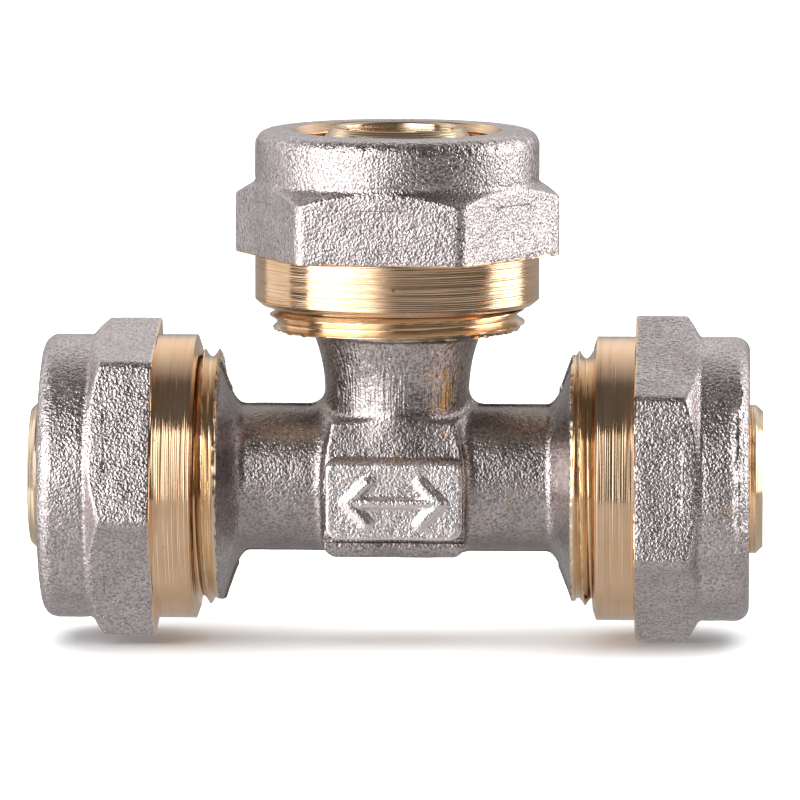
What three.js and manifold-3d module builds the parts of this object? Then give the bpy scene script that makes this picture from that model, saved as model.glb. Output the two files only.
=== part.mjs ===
// Equal tee compression fitting for multilayer pipe: a forged brass body with three
// stems, and on each arm a nut, a split ring, two O-rings and an insulating washer.
// Millimetres, +Z up. The run lies along X, the branch points up along Z.
import * as THREE from 'three';
import { mergeVertices } from 'three/addons/utils/BufferGeometryUtils.js';
import Module from 'manifold-3d';

const wasm = await Module();
wasm.setup();

// ---- Driving dimensions ----

// Pipe that the fitting takes.
const pipeDiameter = 20;
const pipeWall = 2;

// Radial plays and walls, from the waterway outwards.
const stemWall = 1.6;
const stemPlay = 0.2;
const neckWall = 1.4;
const socketPlay = 0.3;
const ringPlay = 0.1;
const ringWall = 1.8;
const ringGap = 0.4;
const mouthGap = 0.1;
const threadShoulder = 0.28;
const threadPitch = 1.5;
const threadGap = 0.35;
const nutWall = 1.5;

// Lengths along an arm, shared by all three.
const flareLength = 1.7;
const flareFillet = 1.6;
const flareWeb = 1.8;
const washerThickness = 1.5;
const seatGap = 0.3;
const mouthChamfer = 0.8;
const mouthLip = 2.2;
const coneLength = 3;
const coneGap = 0.6;
const reliefLength = 1.8;
const ringLength = 5.4;
const ringChamfer = 1;
const tightenTravel = 1.5;
const bodySeatLength = 1;
const stemTipChamfer = 0.7;

// O-rings in the stem.
const oRingSection = 1.2;
const oRingGrooveDepth = 0.85;
const oRingGrooveWidth = 1.7;
const oRingGap = 0.12;
const oRingFromTip = { outer: 5.5, inner: 10.5 };

// Nut outside.
const hexChamferLength = 1.6;
const collarRounding = 1.2;
const skirtChamfer = 0.8;
const barrelRelief = 0.05;
const splitWidth = 2;

// Pad on the front of the body, and a plain one on its back.
const padWidth = 14.8;
const padTop = 6.4;
const padProud = 1.1;
const padTopSetback = 1.1;
const padBottomChamfer = 0.9;
const plateWidth = 14.4;
const plateBottom = -5.6;
const plateTop = 2.3;
const plateProud = 1.7;
const plateCorner = 0.9;

// Raised double arrow on the front pad.
const markStroke = 1.1;
const markHeight = 0.4;
const markHalfLength = 5;
const markHeadReach = 2.2;

// Each arm: where its flare ends, its nut's mouth and lengths, how far its stem stands
// out of the mouth, and the turn of the nut's hexagon about the arm.
const runLengths = { flareEdge: 18.7, nutMouth: 37.1, collar: 5.2, hex: 6.8, skirt: 4.4, stemProud: 1.4 };
const branchLengths = { flareEdge: 16, nutMouth: 36.7, collar: 5.4, hex: 7.6, skirt: 5.3, stemProud: 0.3 };
const quarterTurn = Math.PI / 2;
const arms = [
  { name: 'left', lengths: runLengths, rotation: [0, 0, quarterTurn], hexTurn: -20 },
  { name: 'right', lengths: runLengths, rotation: [0, 0, -quarterTurn], hexTurn: 5.5 },
  { name: 'branch', lengths: branchLengths, rotation: [quarterTurn, 0, 0], hexTurn: 34.9 },
];

// Facets round a full turn.
const wideFacets = 36;
const smallFacets = 24;
const oRingFacets = 6;

// ---- Sizes that follow ----

const pipeRadius = pipeDiameter / 2;
const stemRadius = pipeRadius - pipeWall - stemPlay;
const boreRadius = stemRadius - stemWall;
const neckRadius = boreRadius + neckWall;
const socketRadius = pipeRadius + socketPlay;
const ringInnerRadius = pipeRadius + ringPlay;
const ringOuterRadius = ringInnerRadius + ringWall;
const reliefRadius = ringOuterRadius + ringGap;
const mouthRadius = ringInnerRadius + mouthGap;
const threadDepth = 0.6134 * threadPitch;
const threadRadius = reliefRadius + threadShoulder + threadDepth;
const bodyThreadRadius = threadRadius - threadDepth / 2;
const nutThreadRadius = bodyThreadRadius + threadGap;
const acrossFlats = 2 * (threadRadius + nutWall);
const cornerRadius = acrossFlats / Math.sqrt(3);
const barrelRadius = acrossFlats / 2 - barrelRelief;
const oRingRadius = stemRadius - oRingGrooveDepth + oRingGap + oRingSection / 2;
const coneSlope = (reliefRadius - mouthRadius) / coneLength;

// From a nut's mouth inwards to the ends of its split ring, and to the end of the body's thread.
const ringStart = mouthLip + (ringWall - ringChamfer) / coneSlope + coneGap;
const ringEnd = ringStart + ringLength;
const bodyThreadEnd = ringEnd + tightenTravel + seatGap - bodySeatLength / 2;

const stemTip = (lengths) => lengths.nutMouth + lengths.stemProud;

// ---- Shape helpers ----

const point = (x, y) => new THREE.Vector2(x, y);

// Points along an arc about (x, y), from angle start to angle end in degrees.
function arc(x, y, radius, start, end, steps) {
  const points = [];
  for (let i = 0; i <= steps; i += 1) {
    const angle = THREE.MathUtils.degToRad(start + ((end - start) * i) / steps);
    points.push(point(x + radius * Math.cos(angle), y + radius * Math.sin(angle)));
  }
  return points;
}

// A three.js geometry as a manifold solid: shared corners merged, flat triangles dropped.
function toSolid(geometry) {
  const bare = geometry.clone();
  bare.deleteAttribute('normal');
  bare.deleteAttribute('uv');
  const merged = mergeVertices(bare);
  const corners = Array.from(merged.index.array);
  const kept = [];
  for (let i = 0; i < corners.length; i += 3) {
    const [a, b, c] = corners.slice(i, i + 3);
    if (a !== b && b !== c && c !== a) kept.push(a, b, c);
  }
  const mesh = new wasm.Mesh({
    numProp: 3,
    vertProperties: new Float32Array(merged.attributes.position.array),
    triVerts: new Uint32Array(kept),
  });
  return new wasm.Manifold(mesh);
}

function toGeometry(solid) {
  const mesh = solid.getMesh();
  const geometry = new THREE.BufferGeometry();
  geometry.setAttribute('position', new THREE.BufferAttribute(mesh.vertProperties, 3));
  geometry.setIndex(new THREE.BufferAttribute(mesh.triVerts, 1));
  geometry.computeVertexNormals();
  return geometry;
}

// A profile of (radius, distance along the axis) turned about Y. The outline is closed
// here unless both its ends lie on the axis.
function revolve(profile, facets) {
  const touchesAxis = profile[0].x === 0 && profile.at(-1).x === 0;
  const outline = THREE.ShapeUtils.area(profile) < 0 ? profile.toReversed() : [...profile];
  if (!touchesAxis) outline.push(outline[0].clone());
  return new THREE.LatheGeometry(outline, facets);
}

function revolveSolid(profile, facets) {
  return toSolid(revolve(profile, facets));
}

function cylinderSolid(radius, from, to, facets) {
  return revolveSolid([point(0, from), point(radius, from), point(radius, to), point(0, to)], facets);
}

// Turns a solid that is built along Y to lie along its arm.
function alongArm(solid, arm) {
  const matrix = new THREE.Matrix4().makeRotationFromEuler(new THREE.Euler(...arm.rotation));
  return solid.transform(matrix.elements);
}

// ---- Tee body ----

// Outline of one arm of the body, from the tee's centre along the neck, out over the
// flare and the thread, down into the pipe socket and out again along the stem.
function bodyArmProfile(lengths) {
  const floor = lengths.flareEdge + flareWeb;
  const threadEnd = lengths.nutMouth - bodyThreadEnd;
  const flareRadius = bodyThreadRadius - threadGap / 2;
  const flareStart = lengths.flareEdge - flareLength;
  const filletRadius = neckRadius + flareFillet;
  const grooveRadius = stemRadius - oRingGrooveDepth;
  const tip = stemTip(lengths);
  const profile = [
    point(0, -neckRadius / 2),
    point(neckRadius, -neckRadius / 2),
    ...arc(filletRadius, flareStart - flareFillet / 2, flareFillet, 180, 110, 4),
    point(flareRadius, lengths.flareEdge),
    point(bodyThreadRadius, lengths.flareEdge + threadGap),
    point(bodyThreadRadius, threadEnd - threadDepth / 2),
    point(bodyThreadRadius - threadDepth / 2, threadEnd),
    point(socketRadius + bodySeatLength, threadEnd),
    point(socketRadius, threadEnd - bodySeatLength),
    point(socketRadius, floor),
    point(stemRadius, floor),
  ];
  for (const fromTip of [oRingFromTip.inner, oRingFromTip.outer]) {
    const middle = tip - fromTip;
    profile.push(point(stemRadius, middle - oRingGrooveWidth / 2));
    profile.push(point(grooveRadius, middle - oRingGrooveWidth / 2));
    profile.push(point(grooveRadius, middle + oRingGrooveWidth / 2));
    profile.push(point(stemRadius, middle + oRingGrooveWidth / 2));
  }
  profile.push(point(stemRadius, tip - stemTipChamfer));
  profile.push(point(stemRadius - stemTipChamfer, tip));
  profile.push(point(0, tip));
  return profile;
}

// An outline in (depth, height) carried across the body's width, centred on X = 0, with
// its depth towards the front.
function acrossBody(outline, width) {
  const geometry = new THREE.ExtrudeGeometry(new THREE.Shape(outline), { depth: width, bevelEnabled: false });
  const matrix = new THREE.Matrix4().makeBasis(
    new THREE.Vector3(0, -1, 0),
    new THREE.Vector3(0, 0, 1),
    new THREE.Vector3(-1, 0, 0),
  );
  geometry.applyMatrix4(matrix);
  geometry.translate(width / 2, 0, 0);
  return toSolid(geometry);
}

// The pad behind the raised plate: flush under the tube, bevelled below, leaning back above.
function padSolid() {
  const front = neckRadius + padProud;
  return acrossBody([
    point(0, -neckRadius),
    point(front - padBottomChamfer, -neckRadius),
    point(front, padBottomChamfer - neckRadius),
    point(front, plateTop),
    point(front - padTopSetback, padTop),
    point(0, padTop),
  ], padWidth);
}

// An outline in (X, Z) raised from inside the body to a given depth in front of the axis.
function raisedSolid(shape, depth) {
  const geometry = new THREE.ExtrudeGeometry(shape, { depth, bevelEnabled: false, curveSegments: 3 });
  geometry.rotateX(quarterTurn);
  return toSolid(geometry);
}

function plateSolid() {
  const half = plateWidth / 2;
  const corners = [
    arc(half - plateCorner, plateTop - plateCorner, plateCorner, 0, 90, 3),
    arc(plateCorner - half, plateTop - plateCorner, plateCorner, 90, 180, 3),
    arc(plateCorner - half, plateBottom + plateCorner, plateCorner, 180, 270, 3),
    arc(half - plateCorner, plateBottom + plateCorner, plateCorner, 270, 360, 3),
  ];
  return raisedSolid(new THREE.Shape(corners.flat()), neckRadius + plateProud);
}

// One straight stroke with round ends, between two points of the mark.
function strokeSolid([x0, z0], [x1, z1]) {
  const angle = THREE.MathUtils.radToDeg(Math.atan2(z1 - z0, x1 - x0));
  const radius = markStroke / 2;
  const outline = [
    ...arc(x1, z1, radius, angle - 90, angle + 90, 4),
    ...arc(x0, z0, radius, angle + 90, angle + 270, 4),
  ];
  return raisedSolid(new THREE.Shape(outline), neckRadius + plateProud + markHeight);
}

function markSolid() {
  const middle = (plateTop + plateBottom) / 2;
  const neckOfHead = markHalfLength - markHeadReach;
  let mark = strokeSolid([-markHalfLength, middle], [markHalfLength, middle]);
  for (const side of [-1, 1]) {
    for (const rise of [-markHeadReach, markHeadReach]) {
      mark = mark.add(strokeSolid([side * markHalfLength, middle], [side * neckOfHead, middle + rise]));
    }
  }
  return mark;
}

function teeBodyGeometry() {
  const plate = plateSolid().add(padSolid());
  const backPlate = plate.rotate([0, 0, 180]);
  let body = plate.add(backPlate).add(markSolid());
  for (const arm of arms) {
    body = body.add(alongArm(revolveSolid(bodyArmProfile(arm.lengths), wideFacets), arm));
  }
  for (const arm of arms) {
    const bore = cylinderSolid(boreRadius, -1, stemTip(arm.lengths) + 1, wideFacets);
    body = body.subtract(alongArm(bore, arm));
  }
  return toGeometry(body);
}

// ---- Pieces on each arm, built along Y with their outer end towards +Y ----

function hexPrism(acrossCorners, from, to, turn) {
  const corners = [];
  for (let i = 0; i < 6; i += 1) {
    const angle = THREE.MathUtils.degToRad(30 + 60 * i - turn);
    corners.push(point(acrossCorners * Math.cos(angle), acrossCorners * Math.sin(angle)));
  }
  const geometry = new THREE.ExtrudeGeometry(new THREE.Shape(corners), { depth: to - from, bevelEnabled: false });
  geometry.rotateX(-quarterTurn);
  geometry.translate(0, from, 0);
  return toSolid(geometry);
}

// Nut with its mouth face at Y = 0 and its skirt at the negative end.
function nutGeometry({ collar, hex, skirt }, hexTurn) {
  const length = collar + hex + skirt;
  const barrel = revolveSolid([
    point(0, -length),
    point(barrelRadius - skirtChamfer, -length),
    point(barrelRadius, skirtChamfer - length),
    ...arc(barrelRadius - collarRounding, -collarRounding, collarRounding, 0, 90, 4),
    point(0, 0),
  ], wideFacets);
  const chamferCone = revolveSolid([
    point(0, -length),
    point(cornerRadius + 1, -length),
    point(cornerRadius + 1, -collar - hexChamferLength),
    point(cornerRadius, -collar - hexChamferLength),
    point(barrelRadius, -collar),
    point(0, -collar),
  ], wideFacets);
  const head = hexPrism(cornerRadius, -collar - hex, -collar, hexTurn).intersect(chamferCone);
  const reliefStart = mouthLip + coneLength;
  const threadStart = reliefStart + reliefLength;
  const threadStep = nutThreadRadius - reliefRadius;
  const hollow = revolveSolid([
    point(0, 1),
    point(mouthRadius + mouthChamfer, 1),
    point(mouthRadius + mouthChamfer, 0),
    point(mouthRadius, -mouthChamfer),
    point(mouthRadius, -mouthLip),
    point(reliefRadius, -reliefStart),
    point(reliefRadius, -threadStart),
    point(nutThreadRadius, -threadStart - threadStep),
    point(nutThreadRadius, skirtChamfer - length),
    point(nutThreadRadius + skirtChamfer / 2, -length),
    point(nutThreadRadius + skirtChamfer / 2, -length - 1),
    point(0, -length - 1),
  ], wideFacets);
  return toGeometry(barrel.add(head).subtract(hollow));
}

// Split clamp ring with its outer end at Y = 0, bevelled to seat in the nut and the body.
function splitRingGeometry() {
  const shoulder = ringChamfer / coneSlope;
  const ring = revolveSolid([
    point(ringInnerRadius, -ringLength),
    point(ringOuterRadius - ringChamfer, -ringLength),
    point(ringOuterRadius, ringChamfer - ringLength),
    point(ringOuterRadius, -shoulder),
    point(ringOuterRadius - ringChamfer, 0),
    point(ringInnerRadius, 0),
  ], wideFacets);
  const gap = new THREE.BoxGeometry(2 * ringWall, 2 * ringLength, splitWidth);
  gap.translate(-ringInnerRadius - ringWall / 2, -ringLength / 2, 0);
  return toGeometry(ring.subtract(toSolid(gap)));
}

function oRingGeometry() {
  const lastAngle = 360 - 360 / oRingFacets;
  const section = arc(oRingRadius, 0, oRingSection / 2, 0, lastAngle, oRingFacets - 1);
  return revolve(section, smallFacets);
}

function washerGeometry() {
  const inner = stemRadius + seatGap;
  const outer = socketRadius - seatGap;
  return revolve([
    point(inner, 0),
    point(outer, 0),
    point(outer, washerThickness),
    point(inner, washerThickness),
  ], smallFacets);
}

// ---- Assembly ----

const nickel = new THREE.MeshStandardMaterial({ color: '#a8a29c', roughness: 0.45, metalness: 1 });
const brass = new THREE.MeshStandardMaterial({ color: '#d4b27a', roughness: 0.3, metalness: 1 });
const rubber = new THREE.MeshStandardMaterial({ color: '#1c1c1e', roughness: 0.7, metalness: 0 });
const polymer = new THREE.MeshStandardMaterial({ color: '#efeee8', roughness: 0.5, metalness: 0 });

function piece(name, geometry, material, distance) {
  const mesh = new THREE.Mesh(geometry, material);
  mesh.name = name;
  mesh.position.y = distance;
  return mesh;
}

function armGroup({ name, lengths, rotation, hexTurn }) {
  const group = new THREE.Group();
  group.rotation.set(...rotation);
  group.add(
    piece(`${name}_nut`, nutGeometry(lengths, hexTurn), nickel, lengths.nutMouth),
    piece(`${name}_split_ring`, splitRingGeometry(), brass, lengths.nutMouth - ringStart),
    piece(`${name}_o_ring_outer`, oRingGeometry(), rubber, stemTip(lengths) - oRingFromTip.outer),
    piece(`${name}_o_ring_inner`, oRingGeometry(), rubber, stemTip(lengths) - oRingFromTip.inner),
    piece(`${name}_washer`, washerGeometry(), polymer, lengths.flareEdge + flareWeb + seatGap),
  );
  return group;
}

// How far the lowest corner of a run nut's hexagon lies below the run's axis.
function hexDrop(turn) {
  const drops = [0, 1, 2, 3, 4, 5].map((i) => Math.sin(THREE.MathUtils.degToRad(30 + 60 * i + turn)));
  return cornerRadius * Math.max(...drops);
}

const fitting = new THREE.Group();
fitting.position.z = Math.max(hexDrop(arms[0].hexTurn), hexDrop(arms[1].hexTurn));
fitting.add(piece('tee_body', teeBodyGeometry(), nickel, 0));
for (const arm of arms) fitting.add(armGroup(arm));

export default fitting;
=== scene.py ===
"""Looks of the tee compression fitting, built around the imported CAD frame.

Shapes are worked out in millimetres along each arm and turned into metres when their meshes are made.
"""

import math

import bpy
import numpy as np
from mathutils import Matrix, Vector


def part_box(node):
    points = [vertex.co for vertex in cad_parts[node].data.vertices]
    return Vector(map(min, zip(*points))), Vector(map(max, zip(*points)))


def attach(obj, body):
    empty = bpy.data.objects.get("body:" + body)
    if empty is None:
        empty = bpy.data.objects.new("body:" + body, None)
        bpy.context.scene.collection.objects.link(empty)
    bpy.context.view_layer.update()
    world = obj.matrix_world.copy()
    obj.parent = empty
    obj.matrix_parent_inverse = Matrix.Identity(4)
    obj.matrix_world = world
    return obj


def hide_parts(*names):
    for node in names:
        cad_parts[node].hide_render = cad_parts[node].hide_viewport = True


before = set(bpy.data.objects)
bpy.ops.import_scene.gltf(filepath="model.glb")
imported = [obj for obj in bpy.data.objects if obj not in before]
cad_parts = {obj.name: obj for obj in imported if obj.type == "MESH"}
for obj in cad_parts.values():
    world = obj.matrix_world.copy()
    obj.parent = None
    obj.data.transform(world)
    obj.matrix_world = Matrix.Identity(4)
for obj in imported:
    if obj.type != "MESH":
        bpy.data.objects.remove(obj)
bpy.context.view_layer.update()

# ---- Sizes in millimetres ----

MM = 0.001
ACROSS_FLATS = 30.0
HEX_CORNER_ROUND = 1.4
BARREL_RADIUS = 14.93
COLLAR_ROUND = 1.5
MOUTH_FLAT_RADIUS = 13.3
MOUTH_RADIUS = 10.2
MOUTH_CHAMFER = 0.8
HEX_CHAMFER = 1.35
NECK_RADIUS = 7.58
BORE_RADIUS = 6.2
STEM_RADIUS = 7.8
SOCKET_RADIUS = 10.3
SEAT_RADIUS = 11.25
THREAD_PITCH = 1.5
MALE_CREST = 13.42
MALE_ROOT = 12.62
FEMALE_CREST = 12.78
FEMALE_ROOT = 13.58
RELIEF_RADIUS = 12.3
FLARE_RIM = 12.95
O_RING_SECTION = 0.57

# Each kind of arm: where its flare ends, the lengths of its nut's collar and hexagon, the slope
# of its flare in degrees, how much its neck widens, and two bevels as (length, depth).
RUN = {
    "flare": 18.6,
    "collar": 5.2,
    "hex": 6.8,
    "flare_slope": 70,
    "neck_swell": 0.0,
    "skirt_chamfer": (0.35, 1.0),
    "tip_bevel": (0.75, 0.62),
}
BRANCH = {
    "flare": 15.9,
    "collar": 5.4,
    "hex": 7.6,
    "flare_slope": 82,
    "neck_swell": 0.77,
    "skirt_chamfer": (0.6, 0.7),
    "tip_bevel": (1.3, 0.85),
}
# Where each arm points, how its nut's hexagon and its thread are turned about it in degrees, how
# much its flare leans, how high the burr on its nut is, and the seed of its roughness.
ARMS = {
    "left": {
        "out": (-1, 0, 0),
        "hex_turn": 20.0,
        "thread_turn": -84.0,
        "flare_lean": 0.03,
        "burr": 0.0,
        "seed": 11,
        **RUN,
    },
    "right": {
        "out": (1, 0, 0),
        "hex_turn": -5.5,
        "thread_turn": -10.0,
        "flare_lean": 0.0,
        "burr": 0.3,
        "seed": 23,
        **RUN,
    },
    "branch": {
        "out": (0, 0, 1),
        "hex_turn": -4.9,
        "thread_turn": 90.0,
        "flare_lean": 0.0,
        "burr": 0.0,
        "seed": 37,
        **BRANCH,
    },
}

washer_low, washer_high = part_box("right_washer")
AXIS_HEIGHT = (washer_low.z + washer_high.z) / 2 / MM
CENTRE = np.array([0.0, 0.0, AXIS_HEIGHT])


# ---- Arm frames ----

def arm_axes(arm):
    """Three right-handed directions: towards the front, across, and out along the arm."""
    out = np.array(arm["out"], float)
    front = np.array([0.0, -1.0, 0.0])
    return front, np.cross(out, front), out


def reach(node, arm):
    """How far out along its arm a CAD node starts and ends, in millimetres from the tee's centre."""
    low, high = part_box(node)
    axis = int(np.argmax(np.abs(arm["out"])))
    sign = arm["out"][axis]
    ends = [(corner[axis] / MM - CENTRE[axis]) * sign for corner in (low, high)]
    return min(ends), max(ends)


def place(arm, along, radius, angle):
    """Points of the object from their place along the arm, radius and angle about it."""
    front, across, out = arm_axes(arm)
    along, radius, angle = np.broadcast_arrays(along, radius, angle)
    return (
        CENTRE
        + along[..., None] * out
        + (radius * np.cos(angle))[..., None] * front
        + (radius * np.sin(angle))[..., None] * across
    )


# ---- Noise ----

NOISE_CELLS = 32


def smooth_noise(points, wavelength, seed):
    """Seeded noise from -1 to 1, smooth over one wavelength, for an array of points."""
    lattice = np.random.default_rng(seed).uniform(-1, 1, (NOISE_CELLS, NOISE_CELLS, NOISE_CELLS))
    scaled = points / wavelength
    cell = np.floor(scaled).astype(int)
    part = scaled - cell
    part = part * part * (3 - 2 * part)
    total = np.zeros(points.shape[:-1])
    for corner in np.ndindex(2, 2, 2):
        weight = np.ones(points.shape[:-1])
        index = []
        for axis, step in enumerate(corner):
            weight = weight * (part[..., axis] if step else 1 - part[..., axis])
            index.append((cell[..., axis] + step) % NOISE_CELLS)
        total += weight * lattice[tuple(index)]
    return total


def layered_noise(points, layers, seed):
    """Sum of smooth noises, each layer a (height, wavelength), with seeds that follow each other."""
    return sum(height * smooth_noise(points, wave, seed + i) for i, (height, wave) in enumerate(layers))


def ragged_line(angles, radius, wavelength, seed):
    """Seeded noise from 0 to 1 round a circle, for chipped edges."""
    circle = np.stack([radius * np.cos(angles), radius * np.sin(angles), np.zeros_like(angles)], -1)
    return np.clip(0.5 + 0.9 * smooth_noise(circle, wavelength, seed), 0, 1)


# ---- Meshes ----

def make_object(name, vertices, faces, materials, face_slots=None, sharp_angle=32):
    """A mesh object from millimetre points, smooth except across edges sharper than the angle."""
    mesh = bpy.data.meshes.new(name)
    vertices = np.asarray(vertices, float) * MM
    faces = np.asarray(faces, int)
    mesh.vertices.add(len(vertices))
    mesh.vertices.foreach_set("co", vertices.ravel())
    mesh.loops.add(faces.size)
    mesh.loops.foreach_set("vertex_index", faces.ravel())
    mesh.polygons.add(len(faces))
    mesh.polygons.foreach_set("loop_start", np.arange(len(faces)) * faces.shape[1])
    for material in materials:
        mesh.materials.append(material)
    if face_slots is not None:
        mesh.polygons.foreach_set("material_index", np.asarray(face_slots, int))
    mesh.update(calc_edges=True)
    mesh.shade_smooth()
    mesh.set_sharp_from_angle(angle=math.radians(sharp_angle))
    obj = bpy.data.objects.new(name, mesh)
    bpy.context.scene.collection.objects.link(obj)
    return obj


def loop_faces(rows, columns, offset=0):
    """Four-sided faces of a surface that closes on itself both along and around."""
    row, column = np.meshgrid(np.arange(rows), np.arange(columns), indexing="ij")
    next_row = (row + 1) % rows
    next_column = (column + 1) % columns
    corners = [
        row * columns + column,
        row * columns + next_column,
        next_row * columns + next_column,
        next_row * columns + column,
    ]
    return np.stack(corners, -1).reshape(-1, 4) + offset


def turned_surface(arm, rows, angles):
    """A closed surface about an arm, from rows of (distance along it, radius at each angle)."""
    along = np.array([np.broadcast_to(row[0], angles.shape) for row in rows])
    radius = np.array([np.broadcast_to(row[1], angles.shape) for row in rows])
    return place(arm, along, radius, angles[None, :]), loop_faces(len(rows), len(angles))


def stretch(start, end, step):
    """Evenly spaced values from start up to but not including end, no further apart than step."""
    count = max(1, math.ceil(abs(end - start) / step))
    return np.linspace(start, end, count, endpoint=False)


def straight(start, end, step):
    """Rows along a straight line between two (along, radius) points, without its end."""
    length = math.hypot(end[0] - start[0], end[1] - start[1])
    count = max(1, math.ceil(length / step))
    return [
        (start[0] + (end[0] - start[0]) * i / count, start[1] + (end[1] - start[1]) * i / count)
        for i in range(count)
    ]


def polyline(corners, step):
    """Rows along several straight lines through (along, radius) points, without the last."""
    rows = []
    for start, end in zip(corners, corners[1:]):
        rows += straight(start, end, step)
    return rows


def quarter_round(centre, radius, start, end, count):
    """Rows along an arc about an (along, radius) centre, without its end, in degrees from outwards."""
    rows = []
    for i in range(count):
        angle = math.radians(start + (end - start) * i / count)
        rows.append((centre[0] + radius * math.sin(angle), centre[1] + radius * math.cos(angle)))
    return rows


# ---- Threads ----

CREST_FLAT = 0.08
FLANK_CURVE = 1.7


def thread_radius(arm, along, angles, crest, root, phase):
    """Radius of a right-handed thread with hollow flanks. Half a pitch of phase turns crests to roots."""
    turn = math.radians(arm["thread_turn"])
    place_in_pitch = along / THREAD_PITCH - (angles - turn) / math.tau + phase
    from_crest = np.abs((place_in_pitch + 0.5) % 1 - 0.5) * 2
    flank = np.clip((from_crest - CREST_FLAT) / (1 - CREST_FLAT), 0, 1)
    return root + (crest - root) * (1 - flank) ** FLANK_CURVE


# ---- Nuts ----

COLUMNS_PER_FACE = 80
CORNER_CROWDING = 0.3
HALF_FACE = math.pi / 6
FACE_STEP = 0.3
SHOULDER_START = 0.8
SHOULDER_END = 0.5
SHOULDER_GROOVE_DEPTH = 0.1
SHOULDER_GROOVE_WIDTH = 0.4
HEAD_BLEND = 0.35
SHOULDER_BLEND = 0.7
CHIP_HEIGHT = 0.2
CHIP_WAVELENGTH = 0.42
NUT_THREAD_INSET = 0.25
NUT_THREAD_MOUTH = 0.2
NUT_THREAD_PAST_RING = 1.2
RING_CONE_START = 5.2
RING_CONE_END = 2.2
# Layers of forged roughness, as (height, wavelength)
NUT_WAVES = ((0.035, 2.6), (0.02, 0.9))
RAGGED_RIM = ((0.11, 1.3), (0.05, 0.5))
# The sheared burr on a nut's collar
BURR_TURN = -14.0
BURR_HALF_SPREAD = 45
BURR_FADE = 14
BURR_WANDER = ((0.45, 2.3),)
BURR_FROM_END = 1.0
BURR_HALF_WIDTH = 0.55
BURR_LUMPS = ((0.5, 0.8),)


def hex_angles(arm):
    """Angles about the arm, closest together at the hexagon's corners."""
    u = np.arange(COLUMNS_PER_FACE) / COLUMNS_PER_FACE * 2 - 1
    within_face = np.radians(30 * ((1 + CORNER_CROWDING) * u - CORNER_CROWDING * u**3))
    faces = np.radians(60.0 * np.arange(6))
    return (faces[:, None] + within_face[None, :]).ravel() + math.radians(arm["hex_turn"])


def hex_radius(angles, turn):
    """Radius of a hexagon with rounded corners at each angle."""
    apothem = ACROSS_FLATS / 2
    turned = angles - math.radians(turn) + HALF_FACE + HALF_FACE
    from_corner = turned % (2 * HALF_FACE) - HALF_FACE
    from_flat = HALF_FACE - np.abs(from_corner)
    flat = apothem / np.cos(from_flat)
    centre = (apothem - HEX_CORNER_ROUND) / math.cos(HALF_FACE)
    inside = np.clip(HEX_CORNER_ROUND**2 - (centre * np.sin(from_corner)) ** 2, 0, None)
    rounded = centre * np.cos(from_corner) + np.sqrt(inside)
    tangent = math.atan((apothem - HEX_CORNER_ROUND) * math.tan(HALF_FACE) / apothem)
    return np.where(from_flat > tangent, rounded, flat)


def smooth_min(a, b, blend):
    """The smaller of two values, rounded off where they are within a blend of each other."""
    h = np.clip(0.5 + 0.5 * (b - a) / blend, 0, 1)
    return b + (a - b) * h - blend * h * (1 - h)


def smooth_max(a, b, blend):
    """The larger of two values, rounded off where they are within a blend of each other."""
    return -smooth_min(-a, -b, blend)


def nut_collar(arm, high, angles):
    """From the mouth's chamfer over its flat face and round rim to the collar's side."""
    face_edge = (high, MOUTH_RADIUS + MOUTH_CHAMFER)
    round_centre = (high - COLLAR_ROUND, BARREL_RADIUS - COLLAR_ROUND)
    side_end = high - arm["collar"] + SHOULDER_START
    side = stretch(high - COLLAR_ROUND, side_end, 0.2)
    return [
        (straight((high - MOUTH_CHAMFER, MOUTH_RADIUS), face_edge, FACE_STEP), "turned"),
        (straight(face_edge, (high, MOUTH_FLAT_RADIUS), FACE_STEP), "face"),
        (quarter_round(round_centre, COLLAR_ROUND, 90, 0, 14), "rim"),
        ([(along, np.full(angles.shape, BARREL_RADIUS)) for along in side], "blasted"),
    ]


def nut_hexagon(arm, hex_start, hex_end, hexagon):
    """The chamfered shoulder, a soft groove at its foot, and the hexagon's sides."""
    cone_rise = (hexagon.max() - BARREL_RADIUS) / HEX_CHAMFER
    sides_start = hex_start - HEX_CHAMFER - SHOULDER_END
    shoulder = []
    for along in stretch(hex_start + SHOULDER_START, sides_start, 0.13):
        cone = BARREL_RADIUS + (hex_start - along) * cone_rise
        head = smooth_min(hexagon, cone, HEAD_BLEND)
        groove = SHOULDER_GROOVE_DEPTH * np.exp(-(((along - hex_start) / SHOULDER_GROOVE_WIDTH) ** 2))
        shoulder.append((along, smooth_max(head, BARREL_RADIUS, SHOULDER_BLEND) - groove))
    sides = [(along, hexagon) for along in stretch(sides_start, hex_end + 0.5, 0.35)]
    return [(shoulder, "blasted"), (sides, "blasted")]


def nut_skirt(arm, low, hex_end, hexagon, angles):
    """The hexagon's turned rear face with its chipped edge, then the skirt and its chamfer."""
    chips = CHIP_HEIGHT * ragged_line(angles, BARREL_RADIUS, CHIP_WAVELENGTH, arm["seed"] + 4)
    edge = [
        (hex_end + 0.09 + chips, hexagon - 0.01),
        (hex_end + 0.06, hexagon - 0.03),
        (hex_end, hexagon - 0.1),
    ]
    step = hexagon - BARREL_RADIUS
    rear_face = [(hex_end, BARREL_RADIUS + step * part) for part in (0.66, 0.33)]
    chamfer_length, chamfer_depth = arm["skirt_chamfer"]
    skirt_corner = (low + chamfer_length, BARREL_RADIUS)
    end_edge = (low, BARREL_RADIUS - chamfer_depth)
    skirt = straight((hex_end, BARREL_RADIUS), skirt_corner, 0.4)
    chamfer = straight(skirt_corner, end_edge, FACE_STEP)
    end_face = [end_edge, (low, FEMALE_ROOT + NUT_THREAD_MOUTH)]
    return [(edge + rear_face + skirt + chamfer + end_face, "turned")]


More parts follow.
